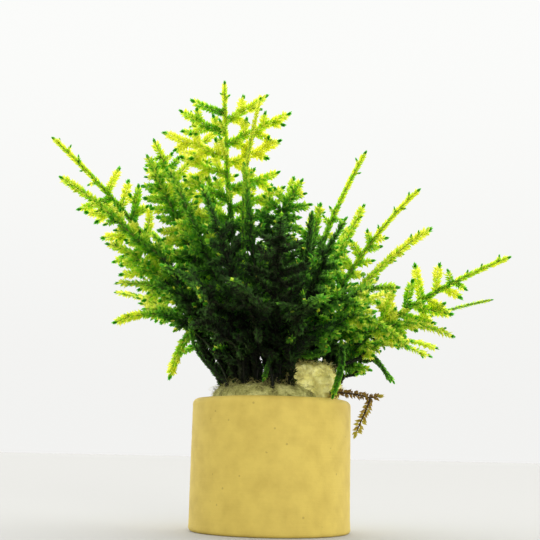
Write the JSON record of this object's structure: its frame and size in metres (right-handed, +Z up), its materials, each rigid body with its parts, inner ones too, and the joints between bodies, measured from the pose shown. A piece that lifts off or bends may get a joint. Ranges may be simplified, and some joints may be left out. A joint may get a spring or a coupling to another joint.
{
  "type": "moss clump",
  "caption": "Clump of feathery moss shoots rooted in rock wool in a small round clay pot, with a torn tuft of wool and a dried sprig hanging over the rim.",
  "frame": {"origin": "centre of the pot's flat base", "axes": "+Z up along the pot's axis, +X along the clump's widest spread (the viewer's right), +Y away from the viewer"},
  "size_m": [0.1049, 0.0753, 0.101],
  "materials": {
    "clay": "fine matt clay, faintly speckled",
    "rock_wool": "fibrous, damp mineral wool",
    "moss_green": "thin translucent leaves, soft sheen",
    "moss_dry": "dried brown leaves"
  },
  "bodies": {
    "root": {"dry_sprig": "moss_dry", "pot": "clay", "rockwool_plug": "rock_wool", "rockwool_tuft": "rock_wool", "shoot_back_crown": "moss_green", "shoot_back_crown_left": "moss_green", "shoot_back_crown_right": "moss_green", "shoot_back_left": "moss_green", "shoot_back_left_high": "moss_green", "shoot_back_left_low": "moss_green", "shoot_back_low": "moss_green", "shoot_back_mid_left": "moss_green", "shoot_back_mid_right": "moss_green", "shoot_back_right": "moss_green", "shoot_back_right_low": "moss_green", "shoot_crown_front": "moss_green", "shoot_crown_left": "moss_green", "shoot_crown_left_back": "moss_green", "shoot_crown_left_front": "moss_green", "shoot_crown_left_low": "moss_green", "shoot_crown_right": "moss_green", "shoot_crown_right_back": "moss_green", "shoot_crown_right_high": "moss_green", "shoot_crown_slender": "moss_green", "shoot_crown_tall": "moss_green", "shoot_front_high": "moss_green", "shoot_front_left": "moss_green", "shoot_front_left_high": "moss_green", "shoot_front_left_low": "moss_green", "shoot_front_mid_left": "moss_green", "shoot_front_mid_right": "moss_green", "shoot_front_right": "moss_green", "shoot_front_right_high": "moss_green", "shoot_front_right_low": "moss_green", "shoot_front_rim": "moss_green", "shoot_left_arch": "moss_green", "shoot_left_cluster": "moss_green", "shoot_left_fork": "moss_green", "shoot_left_hanging": "moss_green", "shoot_left_level": "moss_green", "shoot_left_long": "moss_green", "shoot_left_mid": "moss_green", "shoot_left_short": "moss_green", "shoot_right_dark": "moss_green", "shoot_right_hanging": "moss_green", "shoot_right_hanging_back": "moss_green", "shoot_right_high": "moss_green", "shoot_right_inner": "moss_green", "shoot_right_level": "moss_green", "shoot_right_long": "moss_green", "shoot_right_low": "moss_green", "shoot_right_plume": "moss_green", "shoot_right_rim": "moss_green", "shoot_right_slender": "moss_green", "shoot_right_thin": "moss_green", "shoot_right_upright": "moss_green"}
  },
  "joints": []
}
